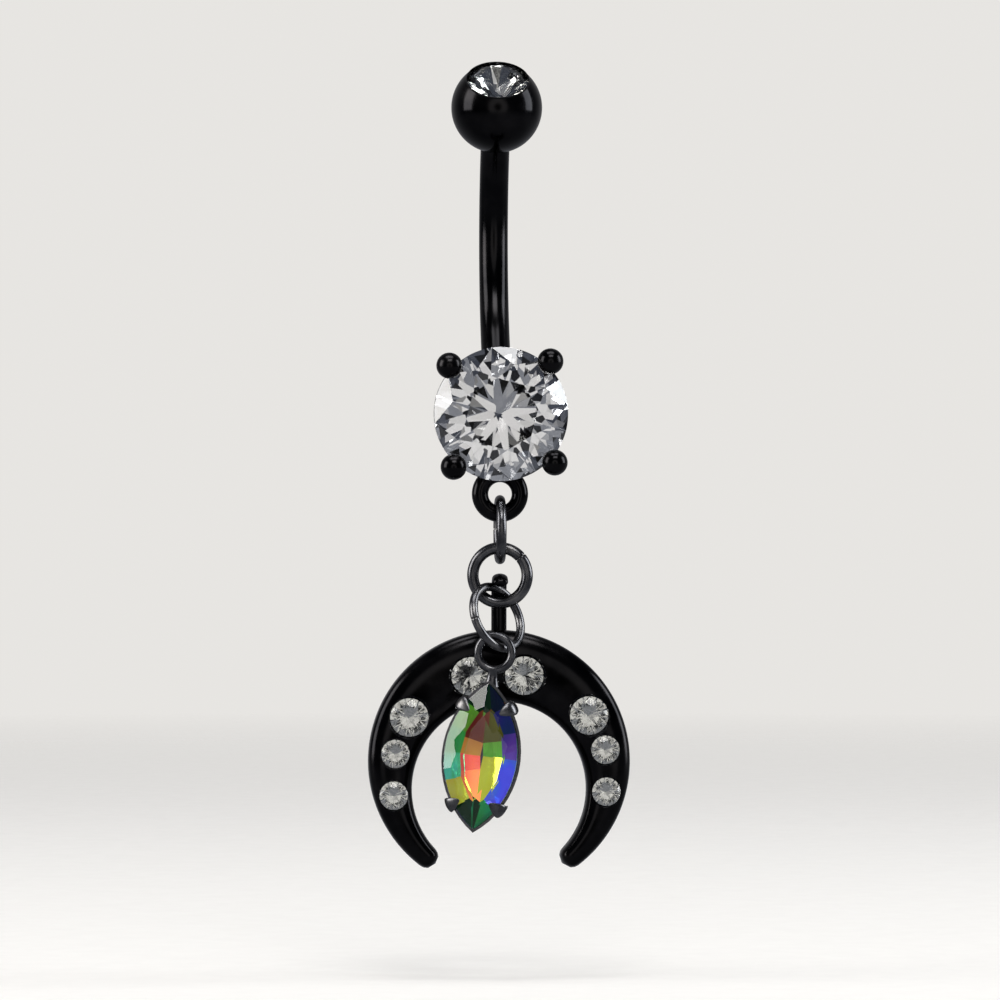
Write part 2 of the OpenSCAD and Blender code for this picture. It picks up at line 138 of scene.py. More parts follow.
def onObject(tree, scale=(1, 1, 1), turn=(0, 0, 0)):
    coordinates = addNode(tree, "ShaderNodeTexCoord")
    mapping = addNode(tree, "ShaderNodeMapping")
    mapping.inputs["Scale"].default_value = scale
    mapping.inputs["Rotation"].default_value = turn
    tree.links.new(coordinates.outputs["Object"], mapping.inputs["Vector"])
    return mapping.outputs["Vector"]


def noise(tree, vector, scale, detail=3.0, roughness=0.55):
    node = addNode(tree, "ShaderNodeTexNoise", Scale=scale, Detail=detail, Roughness=roughness)
    tree.links.new(vector, node.inputs["Vector"])
    return node.outputs["Fac"]


def remap(tree, value, low, high, fromLow=0.35, fromHigh=0.65):
    node = addNode(tree, "ShaderNodeMapRange", clamp=True)
    node.inputs["From Min"].default_value = fromLow
    node.inputs["From Max"].default_value = fromHigh
    node.inputs["To Min"].default_value = low
    node.inputs["To Max"].default_value = high
    tree.links.new(value, node.inputs["Value"])
    return node.outputs["Result"]


def ramp(tree, value, stops):
    node = addNode(tree, "ShaderNodeValToRGB")
    elements = node.color_ramp.elements
    while len(elements) < len(stops):
        elements.new(0.5)
    for element, (position, colour) in zip(elements, stops):
        element.position = position
        element.color = (*colour, 1)
    tree.links.new(value, node.inputs["Fac"])
    return node.outputs["Color"]


# A colour whose darker grains have a share of its brightness
def grained(tree, grain, colour, shade):
    darker = tuple(c * shade for c in colour)
    return ramp(tree, grain, [(0.3, darker), (0.7, colour)])


blackSteelLook = {
    "cloud": [(0.35, (0.009, 0.009, 0.01)), (0.7, (0.022, 0.021, 0.022))],
    "cloudScale": 450,
    "cloudDetail": 4.0,
    "cloudRoughness": 0.55,
    "polish": (0.12, 0.24),
    "hairScale": 9000,
    "hairDetail": 2.0,
    "hairStretch": (1, 1, 0.06),
    "hairTurn": (0.3, 0.2, 0),
    "hairStrength": 0.12,
    "hairDepth": 0.000004,  # m
}
gunmetalLook = {
    # darker patches, plain metal and worn patches, spread at random
    "cloud": [(0.3, (0.05, 0.051, 0.057)), (0.52, (0.14, 0.14, 0.148)), (0.78, (0.27, 0.262, 0.255))],
    "cloudScale": 900,
    "cloudDetail": 5.0,
    "cloudRoughness": 0.6,
    "polish": (0.22, 0.33),
    "hairScale": 14000,
    "hairDetail": 3.0,
    "hairStretch": (1, 1, 0.05),
    "hairTurn": (0.5, 0.1, 0.4),
    "hairStrength": 0.2,
    "hairDepth": 0.000005,  # m
}


# A plated metal: cloudy colour and polish, with fine hairlines
def makeMetal(name, look):
    material, tree, shader = newMaterial(name, Metallic=1.0)
    cloud = noise(tree, onObject(tree), look["cloudScale"], look["cloudDetail"], look["cloudRoughness"])
    tree.links.new(ramp(tree, cloud, look["cloud"]), shader.inputs["Base Color"])
    tree.links.new(remap(tree, cloud, *look["polish"]), shader.inputs["Roughness"])
    stretched = onObject(tree, look["hairStretch"], look["hairTurn"])
    hairs = noise(tree, stretched, look["hairScale"], look["hairDetail"])
    bump = addNode(tree, "ShaderNodeBump", Strength=look["hairStrength"], Distance=look["hairDepth"])
    tree.links.new(hairs, bump.inputs["Height"])
    tree.links.new(bump.outputs["Normal"], shader.inputs["Normal"])
    return material


clearLook = {
    "tint": (0.97, 0.98, 1.0),
    "streakScale": 6000,
    "streakDetail": 2.0,
    "streakStretch": (1, 1, 0.2),
    "streaks": (0.55, 0.75),  # the noise's range over which the polish dulls
}


def makeClear(name, index, dull, shine=0.5):
    look = clearLook
    material, tree, shader = newMaterial(
        name, IOR=index, Transmission_Weight=1.0, Specular_IOR_Level=shine,
    )
    shader.inputs["Base Color"].default_value = (*look["tint"], 1)
    streaks = noise(tree, onObject(tree, look["streakStretch"]), look["streakScale"], look["streakDetail"])
    tree.links.new(remap(tree, streaks, 0.0, dull, *look["streaks"]), shader.inputs["Roughness"])
    return material


foilLook = {
    "silver": (0.93, 0.93, 0.9),
    "grainShade": 0.86,
    "grainScale": 7000,
    "polish": (0.03, 0.12),
    "bandScale": 420,  # of the slow drift over each facet's own colour
    "bandDetail": 1.0,
    "hue": (0.48, 0.525),
    "hueBand": (0.3, 0.7),
    "value": (0.7, 1.25),
    "saturation": 0.92,
    # painted light: the foil glows in its own colours, though it is no lamp
    "paintedGlow": 0.65,
}


def newFoil(name):
    material, tree, shader = newMaterial(name, Metallic=1.0)
    grain = noise(tree, onObject(tree), foilLook["grainScale"])
    tree.links.new(remap(tree, grain, *foilLook["polish"]), shader.inputs["Roughness"])
    return material, tree, shader, grain


def makeSilverFoil():
    material, tree, shader, grain = newFoil("silverFoil")
    silver = grained(tree, grain, foilLook["silver"], foilLook["grainShade"])
    tree.links.new(silver, shader.inputs["Base Color"])
    return material


def makeRainbowFoil():
    look = foilLook
    material, tree, shader, grain = newFoil("rainbowFoil")
    facet = addNode(tree, "ShaderNodeVertexColor", layer_name="foil")
    drift = addNode(tree, "ShaderNodeHueSaturation", Saturation=look["saturation"])
    bands = noise(tree, onObject(tree), look["bandScale"], look["bandDetail"])
    tree.links.new(remap(tree, bands, *look["hue"], *look["hueBand"]), drift.inputs["Hue"])
    tree.links.new(remap(tree, bands, *look["value"]), drift.inputs["Value"])
    tree.links.new(facet.outputs["Color"], drift.inputs["Color"])
    tree.links.new(drift.outputs["Color"], shader.inputs["Base Color"])
    # painted light: the foil's facet colours also glow, which keeps the back facets bright inside the
    # glass
    tree.links.new(drift.outputs["Color"], shader.inputs["Emission Color"])
    shader.inputs["Emission Strength"].default_value = look["paintedGlow"]
    return material


blackSteel = makeMetal("blackSteel", blackSteelLook)
gunmetal = makeMetal("gunmetal", gunmetalLook)
zirconia = makeClear("zirconia", index=2.15, dull=0.02)
crystal = makeClear("crystal", index=1.56, dull=0.04)
softCrystal = makeClear("softCrystal", index=1.56, dull=0.04, shine=0.22)
calmCrystal = makeClear("calmCrystal", index=1.3, dull=0.0)  # a low index keeps the facets large
silverFoil = makeSilverFoil()
rainbowFoil = makeRainbowFoil()
print("materials ready")


# Shared tools
metalEdge = 35.0  # degrees, past which an edge of the metal is sharp
facetEdge = 1.0


# Turns a finished shape into a named piece on its body
def finishPiece(name, bm, body, materials, nodes, sharp=metalEdge):
    bmesh.ops.recalc_face_normals(bm, faces=bm.faces)
    mesh = meshFrom(bm, name)
    for material in materials:
        mesh.materials.append(material)
    for polygon in mesh.polygons:
        polygon.use_smooth = True
    mesh.set_sharp_from_angle(angle=radians(sharp))
    piece = addObject(name, mesh)
    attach(piece, body)
    if nodes:
        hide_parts(*nodes)
    return piece


# Joins one closed shell to a piece
def addPart(bm, part):
    bmesh.ops.recalc_face_normals(part, faces=part.faces)
    mesh = meshFrom(part, "part")
    bm.from_mesh(mesh)
    bpy.data.meshes.remove(mesh)


# A tube along points, with a radius at each and its section squashed by flat
def sweep(points, radii, segments=24, flat=1.0, across=None):
    part = bmesh.new()
    points = [Vector(p) * mm for p in points]
    tangents = []
    for i in range(len(points)):
        before, after = points[max(i - 1, 0)], points[min(i + 1, len(points) - 1)]
        tangents.append((after - before).normalized())
    side = Vector(across).normalized() if across else tangents[0].orthogonal().normalized()
    made = bmesh.ops.create_circle(part, cap_ends=True, segments=segments, radius=1.0)
    verts = made["verts"]
    last = Matrix.Identity(4)
    edges = list(part.edges)
    for i, point in enumerate(points):
        tangent = tangents[i]
        side = (side - tangent * side.dot(tangent)).normalized()
        up = tangent.cross(side)
        turn = Matrix((side, up, tangent)).transposed().to_4x4()
        size = Matrix.Diagonal((radii[i] * mm, radii[i] * mm * flat, radii[i] * mm, 1))
        frameNow = Matrix.Translation(point) @ turn @ size
        if i:
            made = bmesh.ops.extrude_edge_only(part, edges=edges)
            verts = [g for g in made["geom"] if isinstance(g, bmesh.types.BMVert)]
            edges = [g for g in made["geom"] if isinstance(g, bmesh.types.BMEdge)]
            edges = [e for e in edges if all(v in verts for v in e.verts)]
        bmesh.ops.transform(part, matrix=frameNow @ last.inverted(), verts=verts)
        last = frameNow
    bmesh.ops.edgeloop_fill(part, edges=edges)
    return part


# A shape turned round its own Z axis from points of (radius, height)
def turnedShape(profile, matrix, segments=96):
    part = bmesh.new()
    verts = [part.verts.new((r * mm, 0, z * mm)) for r, z in profile]
    edges = [part.edges.new(pair) for pair in zip(verts, verts[1:])]
    bmesh.ops.spin(part, geom=verts + edges, cent=(0, 0, 0), axis=(0, 0, 1), angle=2 * pi,
                   steps=segments, use_merge=True)
    bmesh.ops.remove_doubles(part, verts=part.verts, dist=1e-7)
    bmesh.ops.transform(part, matrix=matrix, verts=part.verts)
    return part


def ball(radius, matrix, segments=48):
    part = bmesh.new()
    bmesh.ops.create_uvsphere(part, u_segments=segments, v_segments=segments // 2, radius=radius * mm)
    bmesh.ops.transform(part, matrix=matrix, verts=part.verts)
    return part


# A ring of wire about its own Z axis; where slit is given, its two ends face each other there
def wireRing(radius, wire, matrix, slit=None, slitAt=0.0, endBevel=0.08, segments=120, sides=32):
    part = bmesh.new()
    gap = 0 if slit is None else slit / radius
    start = radians(slitAt) + gap / 2
    stand = Matrix.Rotation(start, 4, "Z") @ place(radius, 0, 0) @ turned(90, "X")
    bmesh.ops.create_circle(part, cap_ends=False, segments=sides, radius=wire / 2 * mm, matrix=stand)
    bmesh.ops.spin(part, geom=part.verts[:] + part.edges[:], cent=(0, 0, 0), axis=(0, 0, 1),
                   angle=2 * pi - gap, steps=segments, use_merge=slit is None)
    if slit is not None:
        ends = [e for e in part.edges if e.is_boundary]
        caps = bmesh.ops.holes_fill(part, edges=ends, sides=sides)["faces"]
        rims = list({e for f in caps for e in f.edges})
        bmesh.ops.bevel(part, geom=rims, offset=wire * endBevel * mm, affect="EDGES", segments=3,
                        profile=0.5, material=-1)
    bmesh.ops.transform(part, matrix=matrix, verts=part.verts)
    return part


# Round stones, as shares of the width (crown, pavilion) or of the radius
roundCut = {
    "crown": 0.15, "pavilion": 0.42, "girdle": 0.025, "table": 0.54, "star": 0.755, "lower": 0.2,
    "sides": 96,
}


# A small round stone's seat frame, at its rim and facing front, and its width in mm
def stoneSeat(node):
    low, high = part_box(node)
    width = (high.x - low.x) / mm
    centre = boxCentre(node) / mm
    rim = low.y / mm + roundCut["crown"] * width
    return place(centre.x, rim, centre.z) @ facing, width


# Barbell: bar, stub, base, claws, rail and fixed loop
bar = {
    "radius": 0.8, "bend": 9.0, "halfAngle": 37.0, "stubRadius": 0.6, "stubLength": 2.0,
    "shoulder": 0.05, "shoulderSlope": 1.2, "threadPitch": 0.3, "threadDepth": 0.06, "threadEnd": 0.1,
    "tipTaper": 0.15, "arcSteps": 56, "sides": 48,
}
head = {
    "depth": 4.0, "drop": 9.5, "entryRise": 1.1, "gap": 0.03,
    "baseRadius": 1.7, "baseThick": 0.8, "baseBevel": 0.12, "bevelEase": 0.3,
    "wellMouth": 0.55, "wellFloor": 0.45, "wellRise": 0.6,  # shares of the base
    "clawRadius": 0.42, "clawTurn": 2.4, "clawPast": 0.05, "clawSides": 28,
    "kneeBack": 0.2, "kneeBend": 0.5, "kneeSteps": 6,
    "beadRadius": 0.71, "beadOut": 0.17,
    "railWire": 0.7, "railBack": 1.2,
}
fixedLoop = {"hole": 1.28, "wire": 0.9, "drop": 4.37, "solder": 0.5, "solderShape": (1.25, 1.0, 0.8)}

stoneLow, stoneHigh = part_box("centre_stone")
stoneWidth = (stoneHigh.x - stoneLow.x) / mm
rimY = stoneLow.y / mm + roundCut["crown"] * stoneWidth
atSetting = place(0, rimY, -head["drop"]) @ facing
clawOut = stoneWidth / 2 + head["clawRadius"] + head["gap"]
clawFoot = head["baseRadius"] - head["clawRadius"]


# A point of the bar's bend, at an angle up from its middle
def onBend(a):
    return Vector((0, -bar["bend"] * (1 - cos(a)), bar["bend"] * sin(a)))


def makeBar():
    angle = radians(bar["halfAngle"])
    lowEnd = onBend(-angle)
    tail = (head["drop"] - head["entryRise"] + lowEnd.z) / cos(angle)
    path = [lowEnd - Vector((0, sin(angle), cos(angle))) * tail]
    path += [onBend(-angle + 2 * angle * i / bar["arcSteps"]) for i in range(bar["arcSteps"] + 1)]
    radii = [bar["radius"]] * len(path)
    top, along = path[-1], Vector((0, -sin(angle), cos(angle)))
    length = bar["shoulder"] * bar["shoulderSlope"]
    path += [top + along * bar["shoulder"], top + along * length]
    radii += [bar["radius"] - bar["shoulder"], bar["stubRadius"]]
    thread = bar["stubRadius"], bar["stubRadius"] - bar["threadDepth"]
    turn, step = 0, bar["threadPitch"] / 2
    while length + step < bar["stubLength"] - bar["threadEnd"]:
        length += step
        turn += 1
        path.append(top + along * length)
        radii.append(thread[turn % 2])
    path.append(top + along * bar["stubLength"])
    radii.append(bar["stubRadius"] - bar["tipTaper"])
    return sweep(path, radii, bar["sides"], across=(1, 0, 0))


def makeBase():
    r, t, d, b = head["baseRadius"], head["baseThick"], head["depth"], head["baseBevel"]
    ease = b * head["bevelEase"]
    wellZ = -d + t * head["wellRise"]
    profile = [(0, -d), (r - b, -d), (r - ease, -d + ease), (r, -d + b), (r, -d + t - b),
               (r - ease, -d + t - ease), (r - b, -d + t), (r * head["wellMouth"], -d + t),
               (r * head["wellFloor"], wellZ), (0, wellZ)]
    return turnedShape(profile, atSetting)


# The claw's line from the base to the bead, in the plane of its own X and Z
def clawPath():
    footZ = -(head["depth"] - head["baseThick"] / 2)
    slope = atan(roundCut["crown"] / (0.5 - roundCut["table"] / 2))
    beadAt = stoneWidth / 2 + 2 * head["beadRadius"] * head["beadOut"]
    beadZ = ((head["beadRadius"] + head["gap"]) / cos(slope)
             - (beadAt - stoneWidth / 2) * tan(slope) + roundCut["girdle"] * stoneWidth / 2)
    knee, bend = Vector((clawOut, 0, -head["kneeBack"])), head["kneeBend"]
    foot = Vector((clawFoot, 0, footZ))
    lean = (knee - foot).normalized()
    points = [foot, knee - lean * bend * 2]
    start, end = knee - lean * bend, knee + Vector((0, 0, bend))
    for i in range(head["kneeSteps"] + 1):
        t = i / head["kneeSteps"]
        points.append(start * (1 - t) ** 2 + knee * 2 * t * (1 - t) + end * t ** 2)
    points.append(Vector((beadAt + head["clawPast"], 0, beadZ)))
    return points, beadAt, beadZ


def addClaws(bm):
    points, beadAt, beadZ = clawPath()
    for k in range(4):
        spin = atSetting @ turned(45 + head["clawTurn"] + 90 * k, "Z")
        claw = sweep(points, [head["clawRadius"]] * len(points), head["clawSides"], across=(0, 1, 0))
        bmesh.ops.transform(claw, matrix=spin, verts=claw.verts)
        addPart(bm, claw)
        addPart(bm, ball(head["beadRadius"], spin @ place(beadAt, 0, beadZ)))


# The rail joins the claws behind the stone's rim
def makeRail():
    clawDepth = head["depth"] - head["baseThick"] / 2 - head["kneeBack"]
    share = (head["railBack"] - head["kneeBack"]) / clawDepth
    radius = clawOut - (clawOut - clawFoot) * share
    return wireRing(radius, head["railWire"], atSetting @ place(0, 0, -head["railBack"]), segments=160)


def addFixedLoop(bm):
    radius = (fixedLoop["hole"] + fixedLoop["wire"]) / 2
    y, z = rimY + head["railBack"], -head["drop"] - fixedLoop["drop"]
    addPart(bm, wireRing(radius, fixedLoop["wire"], place(0, y, z) @ facing, sides=40))
    squash = Matrix.Diagonal((*fixedLoop["solderShape"], 1))
    addPart(bm, ball(fixedLoop["solder"], place(0, y, z + radius) @ squash))


def makeBarbell():
    bm = bmesh.new()
    addPart(bm, makeBar())
    addPart(bm, makeBase())
    addClaws(bm)
    addPart(bm, makeRail())
    addFixedLoop(bm)
    return finishPiece("barbellMetal", bm, "barbell", [blackSteel], ["barbell"])


makeBarbell()
print("barbell ready")


# Top ball
topBall = {
    "radius": 2.5, "gem": 3.3, "gemSink": 0.2, "gap": 0.03,
    "recess": 0.83, "recessDepth": 0.03, "stubHole": 0.63, "holeTop": -0.368,
    "seatTip": 0.06, "lip": 0.05, "lipOut": 0.02, "steps": 60, "segments": 128,
}
# The rolled lip round the stone, as shares of its size out from the edge and up from its plane
lipShape = [(1.0, -0.2), (0.7, 0.45), (0.2, 0.5), (-0.15, 0.25), (-0.2, -0.3)]


def ballFrame():
    angle = radians(bar["halfAngle"])
    seat = sqrt(topBall["radius"] ** 2 - bar["radius"] ** 2) + topBall["gap"]
    centre = onBend(angle) + Vector((0, -sin(angle), cos(angle))) * seat
    return place(*centre) @ turned(bar["halfAngle"], "X")


# The radius of the stone's opening in the ball, and its height over the ball's middle
def ballOpening():
    opening = topBall["gem"] / 2 + topBall["gap"]
    return opening, sqrt(topBall["radius"] ** 2 - opening ** 2)


def makeTopBall():
    r, lip, steps = topBall["radius"], topBall["lip"], topBall["steps"]
    opening, plane = ballOpening()
    low = -sqrt(r * r - topBall["recess"] ** 2)
    first, last = asin(low / r), asin(plane / r)
    recessZ = low + topBall["recessDepth"]
    profile = [(0, topBall["holeTop"]), (topBall["stubHole"], topBall["holeTop"]),
               (topBall["stubHole"], recessZ), (topBall["recess"], recessZ)]
    for i in range(steps):
        a = first + (last - first) * i / steps
        profile.append((r * cos(a), r * sin(a)))
    profile += [(opening + topBall["lipOut"] + lip * out, plane + lip * up) for out, up in lipShape]
    foot = plane - topBall["gemSink"] - roundCut["girdle"] * opening - topBall["gap"]
    tip = foot - roundCut["pavilion"] * topBall["gem"]
    profile += [(opening, foot), (topBall["seatTip"], tip), (0, tip)]
    bm = turnedShape(profile, ballFrame(), topBall["segments"])
    return finishPiece("ballMetal", bm, "ball", [blackSteel], ["top_ball"])


makeTopBall()
print("ball ready")


# Cut stones
# Cuts a flat facet whose outward side leans by angle from +Z, towards azimuth
def cutFacet(stone, angle, azimuth, distance, materialIndex=0):
    normal = Vector((sin(angle) * cos(azimuth), sin(angle) * sin(azimuth), cos(angle)))
    made = bmesh.ops.bisect_plane(stone, geom=stone.verts[:] + stone.edges[:] + stone.faces[:],
                                  dist=1e-9, plane_co=normal * distance, plane_no=normal, clear_outer=True)
    edges = [g for g in made["geom_cut"] if isinstance(g, bmesh.types.BMEdge)]
    edges = [e for e in edges if e.is_boundary]
    if len(edges) < 3:
        return []
    faces = bmesh.ops.holes_fill(stone, edges=edges, sides=len(edges) + 2)["faces"]
    for face in faces:
        face.material_index = materialIndex
    return faces


# A round brilliant with its rim at the height of zero and its table up
def brilliant(width, backMaterial=0):
    r = width / 2 * mm
    cut = roundCut
    rim, top, deep = cut["girdle"] * r, cut["crown"] * 2 * r, cut["pavilion"] * 2 * r
    table, star, lower = cut["table"] * r, cut["star"] * r, cut["lower"] * r
    eighth, half = pi / 4, pi / 8
    starZ = top - (star * cos(half) - table) / (r - table) * (top - rim)
    lowZ = -deep + (deep - rim) * lower * cos(half) / r
    mainAngle = atan((top - rim) / (r - table))
    starAngle = atan((top - starZ) / (star - table * cos(half)))
    chord = r * cos(half / 2)
    upperAngle = atan((starZ - rim) / (chord - star * cos(half / 2)))
    backAngle = pi - atan((deep - rim) / r)
    lowerAngle = pi - atan((-lowZ - rim) / (chord - lower * cos(half / 2)))
    stone = bmesh.new()
    bmesh.ops.create_cone(stone, cap_ends=True, segments=cut["sides"], radius1=r, radius2=r, depth=4 * r)
    for k in range(8):
        cutFacet(stone, mainAngle, k * eighth, r * sin(mainAngle) + rim * cos(mainAngle))
        cutFacet(stone, backAngle, k * eighth, r * sin(backAngle) - rim * cos(backAngle), backMaterial)
    for k in range(16):
        azimuth = (k + 0.5) * half
        cutFacet(stone, upperAngle, azimuth, chord * sin(upperAngle) + rim * cos(upperAngle))
        cutFacet(stone, lowerAngle, azimuth, chord * sin(lowerAngle) - rim * cos(lowerAngle), backMaterial)
    cutFacet(stone, 0, 0, top)
    for k in range(8):
        distance = table * cos(half) * sin(starAngle) + top * cos(starAngle)
        cutFacet(stone, starAngle, (k + 0.5) * eighth, distance)
    bmesh.ops.remove_doubles(stone, verts=stone.verts, dist=1e-8)
    return stone


stoneTurns = {"centre": 8, "ball": 12, "crescent": 17}  # degrees, the last one from stone to stone


def makeCentreStone():
    stone = brilliant(stoneWidth)
    bmesh.ops.transform(stone, matrix=atSetting @ turned(stoneTurns["centre"], "Z"), verts=stone.verts)
    finishPiece("centreStone", stone, "barbell", [zirconia], ["centre_stone"], facetEdge)


def makeBallStone():
    gem = brilliant(topBall["gem"], 1)
    seat = place(0, 0, ballOpening()[1] - topBall["gemSink"]) @ turned(stoneTurns["ball"], "Z")
    bmesh.ops.transform(gem, matrix=ballFrame() @ seat, verts=gem.verts)
    finishPiece("ballStone", gem, "ball", [calmCrystal, silverFoil], ["ball_gem"], facetEdge)


def makeCrescentStones():
    for i in range(8):
        node = "crescent_stone_%d" % (i + 1)
        seat, width = stoneSeat(node)
        gem = brilliant(width, 1)
        bmesh.ops.transform(gem, matrix=seat @ turned(stoneTurns["crescent"] * i, "Z"), verts=gem.verts)
        finishPiece("crescentStone%d" % (i + 1), gem, "pendant", [crystal, silverFoil],
                    [node], facetEdge)


makeCentreStone()
makeBallStone()
makeCrescentStones()
print("stones ready")


# Rings
ringSlit = 0.03
rings = {
    "link_ring": {
        "name": "linkRing", "body": "link", "outer": 3.78, "wire": 0.55, "slitAt": 90,
        "turn": turned(90, "Y"),
    },
    "large_ring": {
        "name": "largeRing", "body": "pendant", "outer": 3.63, "wire": 0.63, "slitAt": 41,
        "turn": turned(-12, "Z") @ facing,
    },
    "front_ring": {
        "name": "frontRing", "body": "pendant", "outer": 4.04, "wire": 0.48, "slitAt": 200,
        "turn": turned(-29.2, "X") @ turned(41.2, "Z") @ facing,
    },
}


def makeRings():
    for node, ring in rings.items():
        stand = place(*(boxCentre(node) / mm)) @ ring["turn"]
        radius = (ring["outer"] - ring["wire"]) / 2
        bm = wireRing(radius, ring["wire"], stand, slit=ringSlit, slitAt=ring["slitAt"])
        finishPiece(ring["name"], bm, ring["body"], [gunmetal], [node])


makeRings()
print("rings ready")


# Crescent with its hook
crescent = {
    "width": 3.91, "hornAngle": 133.0, "hornRadius": 0.62,
    "hornReach": 0.9985,  # share of a horn's rounding that is shaped before its end is closed
    "hornThin": 1.02,  # the horn thins where its half width is under its radius divided by this
    "edge": 0.75, "dome": 0.85, "power": 2.6, "backEdge": 0.12, "backEase": 0.3,
    "topDrop": 3.03, "steps": 150, "sectionSteps": 40,
}
hook = {
    "width": 0.84, "thick": 0.5, "radius": 0.76, "end": 125.0, "postInset": 0.2, "postFoot": 1.0,
    "steps": 30, "tipSteps": 5, "tipNarrow": 0.25, "sides": 32,
}


def crescentTopZ():
    return boxCentre("large_ring").z / mm - crescent["topDrop"]


# Radii of the outer circle and the hole, the distance of their centres, the hole's height and the back's Y
def crescentShape():
    low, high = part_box("crescent")
    outer = (high.x - low.x) / 2 / mm
    n, w = crescent["hornRadius"], crescent["width"]
    c = cos(radians(crescent["hornAngle"]))
    top = outer - w
    # the hole for which a round tip at the horn's angle touches both circles
    rest = (n * n + top * top + 2 * c * top * n - (outer - n) ** 2) / (2 * (1 - c))
    hole = (top - n + sqrt((top - n) ** 2 - 4 * rest)) / 2
    offset = w - outer + hole
    return outer, hole, offset, crescentTopZ() - outer - offset, high.y / mm


# The band's inner and outer radius about the hole's centre, at angle b from the top
def bandEdges(b, outer, hole, offset):
    n, beyond = crescent["hornRadius"], abs(b) - radians(crescent["hornAngle"])
    rim = offset * cos(b) + sqrt(outer ** 2 - (offset * sin(b)) ** 2)
    if beyond <= 0:
        return hole, rim
    near = hole + n
    reach = sqrt(max(0, n * n - (near * sin(beyond)) ** 2))
    return near * cos(beyond) - reach, min(rim, near * cos(beyond) + reach)


# The band's section: points of (share of the half width, height over the back)
def bandSection():
    p, steps, soft = crescent["power"], crescent["sectionSteps"], crescent["backEdge"]
    ease = soft * crescent["backEase"]
    section = [(-1 + soft, 0), (-1 + ease, ease), (-1, soft)]
    for i in range(steps + 1):
        a = pi * i / steps
        side = (-1 if cos(a) > 0 else 1) * abs(cos(a)) ** (2 / p)
        section.append((side, crescent["edge"] + crescent["dome"] * sin(a) ** (2 / p)))
    return section + [(1, soft), (1 - ease, ease), (1 - soft, 0)]


def makeCrescentBody():
    outer, hole, offset, holeZ, backY = crescentShape()
    section = bandSection()
    bm = bmesh.new()
    stand = 10.0  # mm, the section is spun as a plain band of this radius, then shaped
    verts = [bm.verts.new(((stand + s) * mm, h * mm, 0)) for s, h in section]
    edges = [bm.edges.new(pair) for pair in zip(verts, verts[1:] + verts[:1])]
    horn = crescent["hornRadius"]
    last = radians(crescent["hornAngle"]) + asin(horn / (hole + horn)) * crescent["hornReach"]
    bmesh.ops.spin(bm, geom=verts + edges, cent=(0, 0, 0), axis=(0, 1, 0), angle=2 * last,
                   steps=crescent["steps"], use_merge=False)
    slack = 0.01  # radians, so that rounding doesn't send the last section a full turn on
    for v in bm.verts:
        x, h, z = v.co / mm
        b = last - (-atan2(z, x) % (2 * pi))
        if b < -last - slack:
            b += 2 * pi
        s = sqrt(x * x + z * z) - stand
        inner, rim = bandEdges(b, outer, hole, offset)
        mid, half = (inner + rim) / 2, (rim - inner) / 2
        flat = sqrt(min(1, half / horn * crescent["hornThin"]))
        r = mid + s * half
        v.co = Vector((r * sin(b), backY - h * flat, holeZ + r * cos(b))) * mm
    ends = [e for e in bm.edges if e.is_boundary]
    bmesh.ops.holes_fill(bm, edges=ends, sides=len(section) + 2)
    return bm


# A flat wire: up the post, over to the front and down, with a rounded end
def makeHook():
    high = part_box("crescent")[1]
    w, t, r = hook["width"] / 2, hook["thick"] / 2, hook["radius"]
    postY = high.y / mm - hook["postInset"] - t
    topZ = high.z / mm - r - 2 * t
    hookY = postY - t - r
    end = radians(hook["end"])
    path = [Vector((0, postY, crescentTopZ() - hook["postFoot"])), Vector((0, postY, topZ))]
    for i in range(1, hook["steps"] + 1):
        a = end * i / hook["steps"]
        path.append(Vector((0, hookY + (r + t) * cos(a), topZ + (r + t) * sin(a))))
    radii = [w] * len(path)
    last, onward = path[-1], Vector((0, -sin(end), cos(end)))
    for k in range(1, hook["tipSteps"] + 1):
        u = k / hook["tipSteps"] * pi / 2
        path.append(last + onward * t * sin(u))
        radii.append(w * max(hook["tipNarrow"], 0.5 + 0.5 * cos(u)))
    bm = bmesh.new()
    addPart(bm, sweep(path, radii, hook["sides"], flat=t / w, across=(1, 0, 0)))
    return bm


gemHole = {
    "clear": 0.035, "tip": 0.06, "under": 0.05, "over": 0.02,  # mm round the stone
    "flare": 1.09, "flareUp": 0.17, "mouth": 1.16, "mouthUp": 0.6,  # the opening, in radii and mm up
    "reach": 1.5, "segments": 64,
}


def seatCutters():
    cutters = bmesh.new()
    for i in range(8):
        seat, width = stoneSeat("crescent_stone_%d" % (i + 1))
        r = width / 2 + gemHole["clear"]
        mouth = r * gemHole["mouth"]
        profile = [(0, -width * roundCut["pavilion"] - gemHole["tip"]), (r, -gemHole["under"]),
                   (r, gemHole["over"]), (r * gemHole["flare"], gemHole["flareUp"]),
                   (mouth, gemHole["mouthUp"]), (mouth, gemHole["reach"]), (0, gemHole["reach"])]
        addPart(cutters, turnedShape(profile, seat, gemHole["segments"]))
    return cutters


def cutAway(piece, cutters):
    bmesh.ops.recalc_face_normals(cutters, faces=cutters.faces)
    mesh = meshFrom(cutters, "cutters")
    tool = addObject("cutters", mesh)
    modifier = piece.modifiers.new("seats", "BOOLEAN")
    modifier.operation = "DIFFERENCE"
    modifier.solver = "EXACT"
    modifier.object = tool
    bpy.context.view_layer.update()
    graph = bpy.context.evaluated_depsgraph_get()
    cut = bpy.data.meshes.new_from_object(piece.evaluated_get(graph))
    piece.modifiers.clear()
    old, piece.data = piece.data, cut
    bpy.data.meshes.remove(old)
    bpy.data.objects.remove(tool)
    bpy.data.meshes.remove(mesh)


def makeCrescent():
    piece = finishPiece("crescentMetal", makeCrescentBody(), "pendant", [blackSteel],
                        ["crescent"])
    cutAway(piece, seatCutters())
    piece.data.set_sharp_from_angle(angle=radians(metalEdge))
    finishPiece("crescentHook", makeHook(), "pendant", [blackSteel], [])


makeCrescent()
print("crescent ready")


